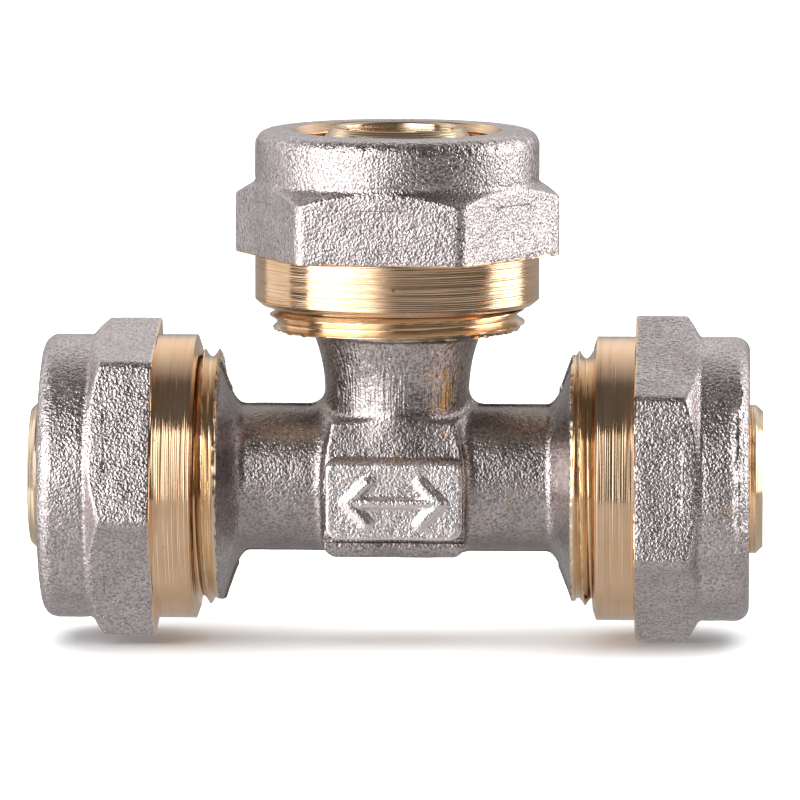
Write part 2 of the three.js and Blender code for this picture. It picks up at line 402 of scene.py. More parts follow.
def nut_inside(arm, low, high, ring_low, angles):
    """The thread with its lead-in and run-out, the relief, and the cone that closes the ring."""
    thread_end = ring_low + NUT_THREAD_PAST_RING
    thread = []
    for along in stretch(low + NUT_THREAD_INSET, thread_end, 0.12):
        radius = thread_radius(arm, along, angles, FEMALE_CREST, FEMALE_ROOT, 0.5)
        lead_in = FEMALE_ROOT + NUT_THREAD_MOUTH - (along - low) * 1.2
        run_out = RELIEF_RADIUS + (thread_end - along) * 1.5
        thread.append((along, np.minimum(np.maximum(radius, lead_in), run_out)))
    corners = [
        (thread_end, RELIEF_RADIUS),
        (high - RING_CONE_START, RELIEF_RADIUS),
        (high - RING_CONE_END, MOUTH_RADIUS + 0.05),
        (high - MOUTH_CHAMFER, MOUTH_RADIUS),
    ]
    return [(thread + polyline(corners, 0.5), "turned")]


def build_nut(name, arm, nickel, brass):
    """Hexagon nut: blasted collar and hexagon, turned skirt, threaded inside."""
    low, high = reach(f"{name}_nut", arm)
    ring_low = reach(f"{name}_split_ring", arm)[0]
    angles = hex_angles(arm)
    hexagon = hex_radius(angles, arm["hex_turn"])
    hex_start = high - arm["collar"]
    hex_end = hex_start - arm["hex"]
    sections = nut_collar(arm, high, angles)
    sections += nut_hexagon(arm, hex_start, hex_end, hexagon)
    sections += nut_skirt(arm, low, hex_end, hexagon, angles)
    sections += nut_inside(arm, low, high, ring_low, angles)
    rows = [row for section, kind in sections for row in section]
    kinds = [kind for section, kind in sections for row in section]
    points, faces = turned_surface(arm, rows, angles)
    points = roughen(points, kinds, arm)
    blasted = np.isin(kinds, ("blasted", "rim", "face"))
    slots = np.repeat(np.where(blasted, 0, 1), len(angles))
    return make_object(f"{name}_nut_fine", points.reshape(-1, 3), faces[:, ::-1], [nickel, brass], slots)


def roughen(points, kinds, arm):
    """Uneven forged skin on a nut: slight waves on the blasted rows, a ragged rim, a sheared burr."""
    front, across, out = arm_axes(arm)
    offset = points - CENTRE
    along = offset @ out
    radial = offset - along[..., None] * out
    radial /= np.linalg.norm(radial, axis=-1, keepdims=True)
    waves = layered_noise(points, NUT_WAVES, arm["seed"])
    ragged = layered_noise(points, RAGGED_RIM, arm["seed"] + 2)
    blasted = np.isin(kinds, ("blasted",))[:, None] * 1.0
    rim = np.isin(kinds, ("rim",))[:, None] * 1.0
    shift = blasted * waves - rim * np.abs(ragged)
    if arm["burr"] > 0:
        turned = np.degrees(np.arctan2(radial @ across, radial @ front))
        shift = shift + burr_height(points, arm, along.max() - along, turned)
    return points + shift[..., None] * radial


def burr_height(points, arm, from_end, turned):
    """Height of the lumpy ridge round part of a nut's rim, from the distance to its mouth."""
    length = np.clip((BURR_HALF_SPREAD - np.abs(turned - BURR_TURN)) / BURR_FADE, 0, 1)
    from_end = from_end + layered_noise(points * np.array([0, 1, 1]), BURR_WANDER, arm["seed"] + 6)
    ridge = np.clip(1 - np.abs(from_end - BURR_FROM_END) / BURR_HALF_WIDTH, 0, 1)
    lumps = 0.75 + layered_noise(points, BURR_LUMPS, arm["seed"] + 7)
    return arm["burr"] * length * ridge * lumps


# ---- Turned ends of the body: thread, socket and stem ----

END_COLUMNS = 360
FORGING_OVERLAP = 0.06
HIDDEN_EDGE_RADIUS = 9.5
RIM_CHIP_DEPTH = 0.16
RIM_CHIP_HEIGHT = 0.08
SHOULDER_WIDTH = 0.12
RIM_SLOPE = 2.5
THREAD_SHORT_OF_RING = 1.3
SEAT_DEPTH = 1.0
UNDER_WASHER = 0.3
THREAD_STEP = 0.045
HIDDEN_THREAD_STEP = 0.12
GROOVE_HALF_WIDTH = 0.8
GROOVE_DEPTH = 0.87
GROOVE_EDGE = 0.1
BORE_EDGE = 0.02


def thread_rows(name, arm, start, thread_end, angles):
    """The flare's turned rim, then the thread, in fine steps where it shows below the nut."""
    rows = [(start, BORE_RADIUS + BORE_EDGE), (start, HIDDEN_EDGE_RADIUS), (start, MALE_ROOT)]
    chips = ragged_line(angles, FLARE_RIM, 0.5, arm["seed"] + 5)
    rows.append((start - RIM_CHIP_DEPTH * chips, FLARE_RIM - 0.1 + RIM_CHIP_HEIGHT * chips))
    shoulder = arm["flare"] + SHOULDER_WIDTH
    hidden = reach(f"{name}_nut", arm)[0] + 0.8
    visible_rows = stretch(shoulder, hidden, THREAD_STEP)
    for along in np.concatenate([visible_rows, stretch(hidden, thread_end, HIDDEN_THREAD_STEP)]):
        thread = thread_radius(arm, along, angles, MALE_CREST, MALE_ROOT, 0.0)
        rim = FLARE_RIM - np.maximum(along - shoulder - SHOULDER_WIDTH, 0) * RIM_SLOPE
        lead_in = MALE_ROOT - 0.1 + (thread_end - along) * 1.0
        rows.append((along, np.minimum(np.maximum(thread, rim), lead_in)))
    return rows


def groove_corners(node, arm):
    """An O-ring's groove in the stem, with broken edges."""
    low, high = reach(node, arm)
    middle = (low + high) / 2
    edge = GROOVE_HALF_WIDTH + GROOVE_EDGE
    return [
        (middle - edge, STEM_RADIUS),
        (middle - GROOVE_HALF_WIDTH, STEM_RADIUS - GROOVE_EDGE),
        (middle - GROOVE_HALF_WIDTH, STEM_RADIUS - GROOVE_DEPTH),
        (middle + GROOVE_HALF_WIDTH, STEM_RADIUS - GROOVE_DEPTH),
        (middle + GROOVE_HALF_WIDTH, STEM_RADIUS - GROOVE_EDGE),
        (middle + edge, STEM_RADIUS),
    ]


def build_turned_end(name, arm, brass):
    """What the lathe cuts on one arm of the body, as a closed ring of metal about the waterway."""
    angles = np.arange(END_COLUMNS) / END_COLUMNS * math.tau
    ring_low = reach(f"{name}_split_ring", arm)[0]
    tip = reach("tee_body", arm)[1]
    start = arm["flare"] - FORGING_OVERLAP
    thread_end = ring_low - THREAD_SHORT_OF_RING
    floor = reach(f"{name}_washer", arm)[0] - UNDER_WASHER
    rows = thread_rows(name, arm, start, thread_end, angles)
    corners = [
        (thread_end, MALE_ROOT - 0.15),
        (thread_end, SEAT_RADIUS),
        (thread_end - SEAT_DEPTH, SOCKET_RADIUS),
        (floor, SOCKET_RADIUS),
        (floor, STEM_RADIUS),
    ]
    corners += groove_corners(f"{name}_o_ring_inner", arm)
    corners += groove_corners(f"{name}_o_ring_outer", arm)
    bevel_length, bevel_depth = arm["tip_bevel"]
    corners += [
        (tip - bevel_length, STEM_RADIUS),
        (tip - 0.08, STEM_RADIUS - bevel_depth),
        (tip, STEM_RADIUS - bevel_depth - 0.1),
        (tip, BORE_RADIUS + 0.28),
        (tip - 0.2, BORE_RADIUS + 0.06),
        (tip - 0.5, BORE_RADIUS),
        (start + 0.4, BORE_RADIUS),
        (start, BORE_RADIUS + BORE_EDGE),
    ]
    rows += polyline(corners, 1.2)
    points, faces = turned_surface(arm, rows, angles)
    return make_object(f"{name}_stem_and_thread", points.reshape(-1, 3), faces, [brass])


# ---- Forged middle of the body ----

VOXEL = 0.2
FLASH_HEIGHT = 0.22
FLASH_HALF_WIDTH = 0.25
FLARE_BLEND = 2.5
FLASH_BLEND = 0.25
BRANCH_BLEND = 1.9
PAD_BLEND = 1.3
PAD_EDGE = 0.3
PAD_BOTTOM = 7.6
PAD_BEVEL = 0.9
PAD_SHOULDER = 2.4
PAD_STEEPNESS = 4.2
PAD_SIDE_LEAN = 0.85
PAD_FRONT_LEAN = 0.95
PAD_TOP = 5.75
PAD_TOP_SLOPE = 0.12
PAD_HALF_WIDTH = 7.4
PAD_FRONT = 8.45
PLATE_FRONT = 9.3
PLATE_ROOT = 5.0
PLATE_HALF_WIDTH = 7.15
PLATE_BOTTOM = -5.55
PLATE_TOP = 2.3
PLATE_SLOPE = 0.8
PLATE_CORNER = 1.4
PLATE_EDGE = 0.3
PLATE_TOP_EDGE = 0.25
PLATE_BLEND = 0.12
GROOVE_RADIUS = 0.3
MARK_RADIUS = 0.65
MARK_HALF_LENGTH = 4.9
MARK_HEAD = 2.1
MARK_RISE = 0.55
BARE_BORE = 0.15
# Layers of forged unevenness, as (height, wavelength)
BODY_WAVES = ((0.05, 3.2), (0.03, 1.1))
# The box that the forged middle is sampled in, from the tee's centre
FORGING_LOW = np.array([-19.4, -13.6, -13.6])
FORGING_HIGH = np.array([19.4, 13.6, 16.6])


def flare_radius(along, arm):
    """Radius of the neck and its flare at a distance along the arm."""
    swell = arm["neck_swell"] * (np.clip(along - 9, 0, None) / 5) ** 2
    cone = FLARE_RIM - (arm["flare"] - along) * math.tan(math.radians(arm["flare_slope"]))
    return np.minimum(smooth_max(NECK_RADIUS + swell, cone, FLARE_BLEND), FLARE_RIM)


def from_arm(points, arm):
    """How far out along an arm points lie, and how far from its axis. Points are from the centre."""
    out = np.array(arm["out"], float)
    along = points @ out
    return along, np.linalg.norm(points - along[..., None] * out, axis=-1)


def arm_field(points, arm):
    """Below zero inside one arm's forged neck and flare, about in millimetres."""
    along, across = from_arm(points, arm)
    radius = flare_radius(along - arm["flare_lean"] * points[..., 2], arm)
    steep = np.where(radius > NECK_RADIUS + 1.2, math.cos(math.radians(arm["flare_slope"])), 1.0)
    shell = (across - radius) * steep
    return np.maximum(np.maximum(shell, along - arm["flare"]), -along - 2)


def planes_field(points, planes, blend):
    """Below zero inside a block bounded by planes of (normal, distance), with rounded edges."""
    field = None
    for normal, distance in planes:
        normal = np.array(normal, float)
        length = np.linalg.norm(normal)
        side = points @ (normal / length) - distance / length
        field = side if field is None else smooth_max(field, side, blend)
    return field


def pad_field(points):
    """The block on the body's front: upright sides with bevels below, leaning in towards the top."""
    side_limit = PAD_STEEPNESS * PAD_HALF_WIDTH + PAD_SIDE_LEAN * PAD_SHOULDER
    front_limit = PAD_STEEPNESS * PAD_FRONT + PAD_FRONT_LEAN * PAD_SHOULDER
    planes = [
        ((0, 0, -1), PAD_BOTTOM),
        ((0, 1, 0), 0.0),
        ((0, -1, 0), PAD_FRONT),
        ((0, -1, -1), PAD_FRONT + PAD_BOTTOM - PAD_BEVEL),
        ((1, 0, 0), PAD_HALF_WIDTH),
        ((-1, 0, 0), PAD_HALF_WIDTH),
        ((1, 0, -1), PAD_HALF_WIDTH + PAD_BOTTOM - PAD_BEVEL),
        ((-1, 0, -1), PAD_HALF_WIDTH + PAD_BOTTOM - PAD_BEVEL),
        ((PAD_STEEPNESS, 0, PAD_SIDE_LEAN), side_limit),
        ((-PAD_STEEPNESS, 0, PAD_SIDE_LEAN), side_limit),
        ((0, -PAD_STEEPNESS, PAD_FRONT_LEAN), front_limit),
        ((0, PAD_TOP_SLOPE, 1), PAD_TOP),
    ]
    return planes_field(points, planes, PAD_EDGE)


def rounded_box_field(u, v, half_u, half_v, corner):
    """Below zero inside a rectangle with rounded corners."""
    du = np.abs(u) - half_u + corner
    dv = np.abs(v) - half_v + corner
    outside = np.hypot(np.maximum(du, 0), np.maximum(dv, 0))
    return outside + np.minimum(np.maximum(du, dv), 0) - corner


def plate_field(points):
    """The raised plate on the pad: rounded corners, its top edge sloping back to the pad."""
    top = PLATE_TOP + PLATE_SLOPE
    outline = rounded_box_field(
        points[..., 0],
        points[..., 2] - (top + PLATE_BOTTOM) / 2,
        PLATE_HALF_WIDTH,
        (top - PLATE_BOTTOM) / 2,
        PLATE_CORNER,
    )
    slope = (points[..., 2] - points[..., 1] - PLATE_TOP - PLATE_FRONT) / math.sqrt(2)
    raised = smooth_max(smooth_max(outline, -points[..., 1] - PLATE_FRONT, PLATE_EDGE), slope, PLATE_TOP_EDGE)
    return np.maximum(raised, points[..., 1] + PLATE_ROOT)


def stroke_field(points, start, end, height):
    """A raised round-ended stroke between two (x, z) points, its crest that far in front of the centre."""
    start = np.array(start, float)
    end = np.array(end, float)
    flat = np.stack([points[..., 0], points[..., 2]], -1) - start
    line = end - start
    part = np.clip(flat @ line / (line @ line), 0, 1)
    across = np.linalg.norm(flat - part[..., None] * line, axis=-1)
    return np.hypot(across, points[..., 1] + height - MARK_RADIUS) - MARK_RADIUS


def mark_field(points):
    """A plain double arrow along the run."""
    middle = (PLATE_TOP + PLATE_BOTTOM) / 2
    crest = PLATE_FRONT + MARK_RISE
    field = stroke_field(points, (-MARK_HALF_LENGTH, middle), (MARK_HALF_LENGTH, middle), crest)
    for side in (-1, 1):
        for rise in (-MARK_HEAD, MARK_HEAD):
            tip = (side * MARK_HALF_LENGTH, middle)
            tail = (side * (MARK_HALF_LENGTH - MARK_HEAD), middle + rise)
            field = np.minimum(field, stroke_field(points, tip, tail, crest))
    return field


def body_field(points):
    """Below zero inside the forged middle of the body. Points are from the tee's centre."""
    run = np.minimum(arm_field(points, ARMS["left"]), arm_field(points, ARMS["right"]))
    flash = np.maximum(run - FLASH_HEIGHT, np.abs(points[..., 1]) - FLASH_HALF_WIDTH)
    flash = np.maximum(flash, np.abs(points[..., 0]) - ARMS["left"]["flare"])
    flash = np.maximum(flash, np.hypot(points[..., 1], points[..., 2]) - FLARE_RIM)
    run = smooth_min(run, flash, FLASH_BLEND)
    field = smooth_min(run, arm_field(points, ARMS["branch"]), BRANCH_BLEND)
    mirrored = points * np.array([1, -1, 1])
    pads = np.minimum(pad_field(points), pad_field(mirrored))
    field = smooth_min(field, pads, PAD_BLEND)
    plates = np.minimum(plate_field(points), plate_field(mirrored))
    field = smooth_min(field, plates, PLATE_BLEND)
    below_plate = points[..., 2] - PLATE_BOTTOM + 0.1
    groove = np.hypot(below_plate, np.abs(points[..., 1]) - PAD_FRONT) - GROOVE_RADIUS
    groove = np.maximum(groove, np.abs(points[..., 0]) - PAD_HALF_WIDTH - 1)
    field = np.maximum(field, -groove)
    field = smooth_min(field, mark_field(points), PLATE_BLEND)
    for arm in ARMS.values():
        along, across = from_arm(points, arm)
        bore = np.maximum(across - BORE_RADIUS, -along)
        field = np.maximum(field, -bore)
    return field


def surface_nets(field, low, step):
    """Vertices and four-sided faces of the surface where a sampled field is zero."""
    inside = field < 0
    count = np.zeros(tuple(n - 1 for n in field.shape), int)
    for corner in np.ndindex(2, 2, 2):
        count += inside[tuple(slice(c, c + n) for c, n in zip(corner, count.shape))]
    cells = np.argwhere((count > 0) & (count < 8))
    index = np.full(count.shape, -1)
    index[tuple(cells.T)] = np.arange(len(cells))
    total = np.zeros((len(cells), 3))
    hits = np.zeros(len(cells))
    for axis in range(3):
        others = [a for a in range(3) if a != axis]
        for first, second in np.ndindex(2, 2):
            start = cells.copy()
            start[:, others[0]] += first
            start[:, others[1]] += second
            end = start.copy()
            end[:, axis] += 1
            a = field[tuple(start.T)]
            b = field[tuple(end.T)]
            crossing = (a < 0) != (b < 0)
            part = np.where(crossing, a / np.where(crossing, a - b, 1), 0)
            point = start.astype(float)
            point[:, axis] += part
            total += np.where(crossing[:, None], point, 0)
            hits += crossing
    vertices = low + total / hits[:, None] * step
    faces = []
    for axis in range(3):
        others = [(axis + 1) % 3, (axis + 2) % 3]
        here = [slice(None)] * 3
        there = [slice(None)] * 3
        here[axis] = slice(0, -1)
        there[axis] = slice(1, None)
        edges = np.argwhere(inside[tuple(here)] != inside[tuple(there)])
        edges = edges[(edges[:, others[0]] > 0) & (edges[:, others[1]] > 0)]
        corners = []
        for first, second in ((1, 1), (0, 1), (0, 0), (1, 0)):
            cell = edges.copy()
            cell[:, others[0]] -= first
            cell[:, others[1]] -= second
            corners.append(index[tuple(cell.T)])
        quads = np.stack(corners, -1)
        outward = inside[tuple(edges.T)]
        faces.append(np.where(outward[:, None], quads, quads[:, ::-1]))
    return vertices, np.concatenate(faces)


def settle(points, steps):
    """Moves points onto the body's surface, by less than a voxel at each step."""
    nudge = 0.02
    least_slope = 0.05
    longest_move = 0.6 * VOXEL
    for _ in range(steps):
        value = body_field(points)
        gradient = np.zeros_like(points)
        for axis in range(3):
            offset = np.zeros(3)
            offset[axis] = nudge
            gradient[:, axis] = (body_field(points + offset) - body_field(points - offset)) / (2 * nudge)
        size = np.maximum((gradient**2).sum(1), least_slope)
        move = -gradient * (value / size)[:, None]
        length = np.linalg.norm(move, axis=1)
        move *= np.minimum(1, longest_move / np.maximum(length, 1e-9))[:, None]
        points = points + move
    return points


def build_forging(nickel, brass):
    """The forged middle: plated outside, bare brass in its waterways, slightly uneven."""
    counts = np.ceil((FORGING_HIGH - FORGING_LOW) / VOXEL).astype(int) + 1
    axes = [FORGING_LOW[a] + VOXEL * np.arange(counts[a]) for a in range(3)]
    points = np.stack(np.meshgrid(*axes, indexing="ij"), -1)
    vertices, faces = surface_nets(body_field(points), FORGING_LOW, VOXEL)
    vertices = settle(vertices, 3)
    flat_end = np.zeros(len(vertices), bool)
    waterway = np.zeros(len(vertices), bool)
    for arm in ARMS.values():
        along, across = from_arm(vertices, arm)
        flat_end |= along > arm["flare"] - 0.3
        waterway |= across < BORE_RADIUS + BARE_BORE
    uneven = layered_noise(vertices, BODY_WAVES, 5)
    radial = vertices / np.linalg.norm(vertices, axis=1, keepdims=True)
    vertices = vertices + radial * np.where(waterway | flat_end, 0, uneven)[:, None]
    bare = waterway[faces].all(axis=1)
    slots = np.where(bare, 1, 0)
    return make_object("tee_forging", vertices + CENTRE, faces, [nickel, brass], slots, sharp_angle=50)


# ---- Small pieces ----

RING_INNER = 10.1
RING_OUTER = 11.9
RING_BEVEL = 0.95
RING_HALF_SLIT = 1.0
RING_COLUMNS = 160
RING_GROOVES = 5
RING_GROOVE_SPACING = 0.9
RING_GROOVE_HALF_WIDTH = 0.25
RING_GROOVE_DEPTH = 0.15
O_RING_RADIUS = 7.65
O_RING_MOULD_LINE = 0.02
O_RING_ROWS = 24
SMALL_COLUMNS = 144
WASHER_INNER = 8.1
WASHER_OUTER = 10.0
WASHER_EDGE = 0.12


def ring_profile(low, high):
    """Section of the clamp ring: bevelled outside at both ends, grooved inside to grip the pipe."""
    profile = [
        (low, RING_OUTER - RING_BEVEL),
        (low + 1.0, RING_OUTER - 0.05),
        (low + 1.1, RING_OUTER),
        (high - 1.5, RING_OUTER),
        (high - 1.4, RING_OUTER - 0.05),
        (high, RING_OUTER - RING_BEVEL),
        (high, RING_INNER + 0.1),
    ]
    for k in range(RING_GROOVES):
        middle = high - 0.8 - k * RING_GROOVE_SPACING
        profile += [
            (middle + RING_GROOVE_HALF_WIDTH, RING_INNER),
            (middle, RING_INNER + RING_GROOVE_DEPTH),
            (middle - RING_GROOVE_HALF_WIDTH, RING_INNER),
        ]
    profile.append((low, RING_INNER + 0.1))
    return profile


def build_split_ring(name, arm, brass):
    """Clamp ring with a slit that faces the back. The CAD rings' slits face other ways on two arms."""
    profile = ring_profile(*reach(f"{name}_split_ring", arm))
    half_slit = RING_HALF_SLIT / RING_OUTER
    columns = RING_COLUMNS
    angles = math.pi + np.linspace(half_slit, math.tau - half_slit, columns)
    rows = len(profile)
    points = np.array([place(arm, along, radius, angles) for along, radius in profile])
    row, column = np.meshgrid(np.arange(rows), np.arange(columns - 1), indexing="ij")
    next_row = (row + 1) % rows
    corners = [
        row * columns + column,
        row * columns + column + 1,
        next_row * columns + column + 1,
        next_row * columns + column,
    ]
    quads = np.stack(corners, -1).reshape(-1, 4)
    caps = [[r * columns for r in range(rows)][::-1], [r * columns + columns - 1 for r in range(rows)]]
    mesh = bpy.data.meshes.new(f"{name}_split_ring_fine")
    mesh.from_pydata((points.reshape(-1, 3) * MM).tolist(), [], quads.tolist() + caps)
    mesh.materials.append(brass)
    mesh.shade_smooth()
    mesh.set_sharp_from_angle(angle=math.radians(30))
    obj = bpy.data.objects.new(mesh.name, mesh)
    bpy.context.scene.collection.objects.link(obj)
    return obj


def build_o_ring(name, side, arm, rubber):
    """Rubber ring with a fine mould line round its inside and its outside."""
    low, high = reach(f"{name}_o_ring_{side}", arm)
    middle = (low + high) / 2
    angles = np.arange(SMALL_COLUMNS) / SMALL_COLUMNS * math.tau
    rows = []
    for i in range(O_RING_ROWS):
        turn = math.tau * i / O_RING_ROWS
        on_mould_line = i in (0, O_RING_ROWS // 2)
        section = O_RING_SECTION + (O_RING_MOULD_LINE if on_mould_line else 0)
        rows.append((middle + section * math.sin(turn), O_RING_RADIUS + section * math.cos(turn)))
    points, faces = turned_surface(arm, rows, angles)
    return make_object(f"{name}_o_ring_{side}_fine", points.reshape(-1, 3), faces[:, ::-1], [rubber])


def build_washer(name, arm, polymer):
    """Flat plastic washer with broken edges."""
    low, high = reach(f"{name}_washer", arm)
    angles = np.arange(SMALL_COLUMNS) / SMALL_COLUMNS * math.tau
    corners = [
        (low, WASHER_INNER + WASHER_EDGE),
        (low, WASHER_OUTER - WASHER_EDGE),
        (low + WASHER_EDGE, WASHER_OUTER),
        (high - WASHER_EDGE, WASHER_OUTER),
        (high, WASHER_OUTER - WASHER_EDGE),
        (high, WASHER_INNER + WASHER_EDGE),
        (high - WASHER_EDGE, WASHER_INNER),
        (low + WASHER_EDGE, WASHER_INNER),
        (low, WASHER_INNER + WASHER_EDGE),
    ]
    points, faces = turned_surface(arm, polyline(corners, 0.8), angles)
    return make_object(f"{name}_washer_fine", points.reshape(-1, 3), faces, [polymer])


# ---- Materials ----

class Nodes:
    """Short calls for building a material's nodes."""

    def __init__(self, name):
        self.material = bpy.data.materials.new(name)
        self.material.use_nodes = True
        self.tree = self.material.node_tree
        self.shader = self.tree.nodes["Principled BSDF"]
        self.place = self.add("ShaderNodeTexCoord").outputs["Object"]

    def add(self, kind, **settings):
        node = self.tree.nodes.new(kind)
        for key, value in settings.items():
            setattr(node, key, value)
        return node

    def link(self, value, socket):
        if isinstance(value, bpy.types.NodeSocket):
            self.tree.links.new(value, socket)
        else:
            socket.default_value = value

    def stretched(self, scale):
        node = self.add("ShaderNodeMapping")
        self.link(self.place, node.inputs["Vector"])
        node.inputs["Scale"].default_value = scale
        return node.outputs["Vector"]

    def noise(self, vector, scale, detail=2.0, roughness=0.5, distortion=0.0):
        node = self.add("ShaderNodeTexNoise")
        self.link(vector, node.inputs["Vector"])
        node.inputs["Scale"].default_value = scale
        node.inputs["Detail"].default_value = detail
        node.inputs["Roughness"].default_value = roughness
        node.inputs["Distortion"].default_value = distortion
        return node.outputs["Fac"]

    def ramp(self, value, low, high, to_low=0.0, to_high=1.0):
        node = self.add("ShaderNodeMapRange")
        self.link(value, node.inputs["Value"])
        for key, number in (("From Min", low), ("From Max", high), ("To Min", to_low), ("To Max", to_high)):
            node.inputs[key].default_value = number
        return node.outputs["Result"]

    def maths(self, operation, *values):
        node = self.add("ShaderNodeMath", operation=operation)
        for value, socket in zip(values, node.inputs):
            self.link(value, socket)
        return node.outputs[0]

    def mix(self, factor, a, b):
        node = self.add("ShaderNodeMix", data_type="RGBA")
        self.link(factor, node.inputs["Factor"])
        self.link((*a, 1) if isinstance(a, tuple) else a, node.inputs[6])
        self.link((*b, 1) if isinstance(b, tuple) else b, node.inputs[7])
        return node.outputs[2]

    def split(self, vector):
        node = self.add("ShaderNodeSeparateXYZ")
        self.link(vector, node.inputs[0])
        return node.outputs[0], node.outputs[1], node.outputs[2]

    def bump(self, height, distance, strength=1.0, normal=None):
        node = self.add("ShaderNodeBump")
        node.inputs["Strength"].default_value = strength
        node.inputs["Distance"].default_value = distance
        self.link(height, node.inputs["Height"])
        if normal is not None:
            self.link(normal, node.inputs["Normal"])
        return node.outputs["Normal"]

    def set(self, **values):
        for key, value in values.items():
            self.link(value, self.shader.inputs[key.replace("_", " ")])


NUT_PLATE = ((0.64, 0.57, 0.565), (0.77, 0.70, 0.695))
BODY_PLATE = ((0.50, 0.44, 0.425), (0.68, 0.61, 0.595))
# Painted shade: dark tones painted low on the body near its middle plane, along the edges of the run and the
# neck
PAINTED_EDGE_SHADE = ((0.17, 0.14, 0.125), (0.29, 0.255, 0.24))
# Painted highlight: near white painted on the plate's front face
PAINTED_PLATE_HIGHLIGHT = (0.93, 0.86, 0.85)
BRASS_SPECK = (0.62, 0.43, 0.22)
BRASS_STRIPE = (0.70, 0.42, 0.15)
DENT_SHADE = 0.62
NUT_DENT_DEPTH = 0.00013
BODY_DENT_DEPTH = 0.00009
# Where the forged neck starts and is full, and where the rubbed stripe lies, in millimetres
NECK_START = 6.5
NECK_FULL = 9.0
STRIPE_ASIDE = 5.1
STRIPE_HEIGHT = 10.0


def plated_skin(n, pale, dent_depth, calm=None, lines=None):
    """Nickel plate over shot-blasted brass: packed sharp dents, stains, brass where it is worn."""
    dents = n.noise(n.place, 3700, detail=1.0, roughness=0.5, distortion=0.3)
    waves = n.noise(n.place, 700, detail=2.0)
    blotches = n.noise(n.place, 230, detail=4.0, roughness=0.65)
    tint = n.mix(n.ramp(blotches, 0.38, 0.62), pale[0], pale[1])
    shade = n.mix(n.ramp(dents, 0.34, 0.56), tuple(DENT_SHADE * part for part in pale[0]), tint)
    specks = n.ramp(n.noise(n.place, 420, detail=4.0, roughness=0.7), 0.665, 0.70, 0.0, 0.7)
    n.set(Metallic=1.0, Roughness=n.ramp(waves, 0.3, 0.7, 0.22, 0.34))
    height = dents if lines is None else n.maths("MULTIPLY_ADD", dents, calm, lines)
    normal = n.bump(height, dent_depth, normal=n.bump(waves, 0.00005))
    return shade, specks, normal


def nickel_material():
    """The nuts' blasted plate."""
    n = Nodes("blasted_nickel")
    shade, specks, normal = plated_skin(n, NUT_PLATE, NUT_DENT_DEPTH)
    n.set(Base_Color=n.mix(n.maths("MULTIPLY", specks, 0.6), shade, BRASS_SPECK))
    n.set(Normal=normal)
    return n.material


def forged_material():
    """The body's skin: as the nuts', with die lines up the branch, a rubbed brass stripe, painted shade low
    down near its middle plane and a painted highlight on the plate's front.
    """
    n = Nodes("forged_nickel")
    x, y, z = n.split(n.place)
    above = n.maths("SUBTRACT", z, AXIS_HEIGHT * MM)
    upright = n.noise(n.stretched((1900, 1900, 50)), 2.0, detail=2.0)
    on_neck = n.ramp(above, NECK_START * MM, NECK_FULL * MM, 0.0, 1.5)
    lines = n.maths("MULTIPLY", upright, on_neck)
    calm = n.ramp(above, NECK_START * MM, NECK_FULL * MM, 1.0, 0.75)
    blotches = n.noise(n.place, 300, detail=3.0)
    shade, specks, normal = plated_skin(n, BODY_PLATE, BODY_DENT_DEPTH, calm, lines)
    # Painted shade: low on the body near its middle plane, where the run's top and bottom edges and the
    # neck's sides lie, the skin is painted dark
    low_down = n.ramp(above, 7.5 * MM, 9.5 * MM, 1.0, 0.25)
    near_middle_plane = n.ramp(n.maths("ABSOLUTE", y), 6.4 * MM, 2.0 * MM, 0.0, 1.0)
    edge_shade_mask = n.maths("MULTIPLY", low_down, near_middle_plane)
    shade = n.mix(edge_shade_mask, shade, n.mix(blotches, PAINTED_EDGE_SHADE[0], PAINTED_EDGE_SHADE[1]))
    # Painted highlight: the plate's front face and the mark on it are painted near white
    on_plate = n.ramp(n.maths("ABSOLUTE", y), (PLATE_FRONT - 0.5) * MM, (PLATE_FRONT - 0.1) * MM)
    plate_highlight_mask = n.maths("MULTIPLY", on_plate, n.ramp(n.maths("ABSOLUTE", x), 7.6 * MM, 7.3 * MM))
    shade = n.mix(plate_highlight_mask, shade, PAINTED_PLATE_HIGHLIGHT)
    patch = n.noise(n.stretched((700, 700, 260)), 1.0, detail=4.0, roughness=0.65)
    aside = n.maths("ABSOLUTE", n.maths("SUBTRACT", x, STRIPE_ASIDE * MM))
    beside = n.ramp(aside, 0.2 * MM, 1.3 * MM, 0.32, 0.0)
    up_or_down = n.maths("ABSOLUTE", n.maths("SUBTRACT", above, STRIPE_HEIGHT * MM))
    along = n.ramp(up_or_down, 1.8 * MM, 3.2 * MM, 1.0, 0.0)
    facing = n.ramp(y, -3.0 * MM, -2.0 * MM, 1.0, 0.0)
    rubbed = n.maths("MULTIPLY", n.maths("MULTIPLY", beside, along), facing)
    stripe = n.ramp(n.maths("ADD", patch, rubbed), 0.66, 0.80, 0.0, 0.8)
    worn = n.maths("MAXIMUM", specks, stripe)
    n.set(Base_Color=n.mix(worn, shade, BRASS_STRIPE))
    n.set(Normal=normal)
    return n.material


WARM_BRASS = ((0.88, 0.585, 0.36), (0.95, 0.665, 0.45))
PALE_BRASS = ((0.84, 0.64, 0.43), (0.91, 0.71, 0.51))


